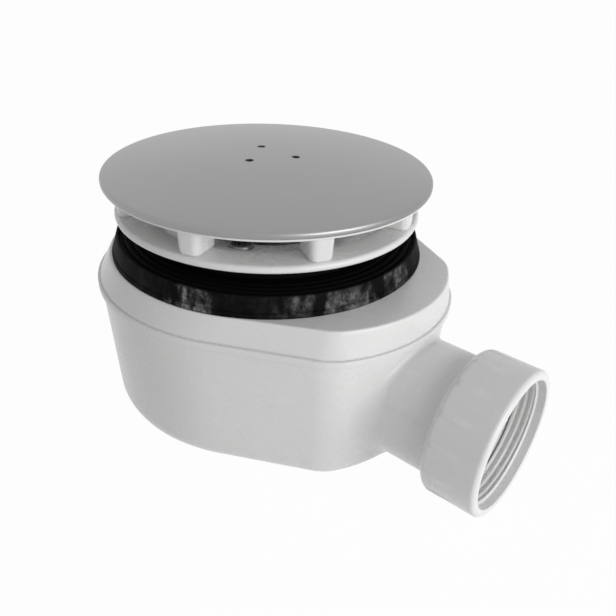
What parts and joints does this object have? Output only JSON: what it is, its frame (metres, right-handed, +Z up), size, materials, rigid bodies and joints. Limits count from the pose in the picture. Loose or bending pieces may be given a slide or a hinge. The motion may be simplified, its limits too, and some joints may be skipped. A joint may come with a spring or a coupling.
{
  "type": "shower trap",
  "caption": "Shower waste trap with a domed metal cover, clamp flange and seals for the tray, an egg-shaped body and a swivelling outlet coupling nut.",
  "frame": {"origin": "on the drain axis in the plane of the body's flat base", "axes": "+Z up along the drain axis, +X along the outlet towards the coupling nut's mouth"},
  "size_m": [0.1778, 0.1256, 0.1005],
  "materials": {
    "satin_metal": "satin",
    "white_plastic": "gloss",
    "black_rubber": "matte",
    "screw_steel": "satin",
    "brass": "satin"
  },
  "bodies": {
    "trap": {"cover_plate": "satin_metal", "cover_insert": "white_plastic", "clamp_flange": "white_plastic", "upper_housing": "white_plastic", "lower_bowl": "white_plastic", "dip_tube": "white_plastic", "upper_seal": "black_rubber", "lower_seal": "black_rubber", "dip_tube_gasket": "black_rubber", "outlet_washer": "black_rubber", "flange_screws": "screw_steel", "screw_inserts": "brass"},
    "nut": {"outlet_nut": "white_plastic"}
  },
  "joints": [
    {"name": "nut_turn", "type": "hinge", "parent": "trap", "child": "nut", "pos_m": [0.1, 0, 0.029], "axis": [1, 0, 0], "continuous": true}
  ]
}
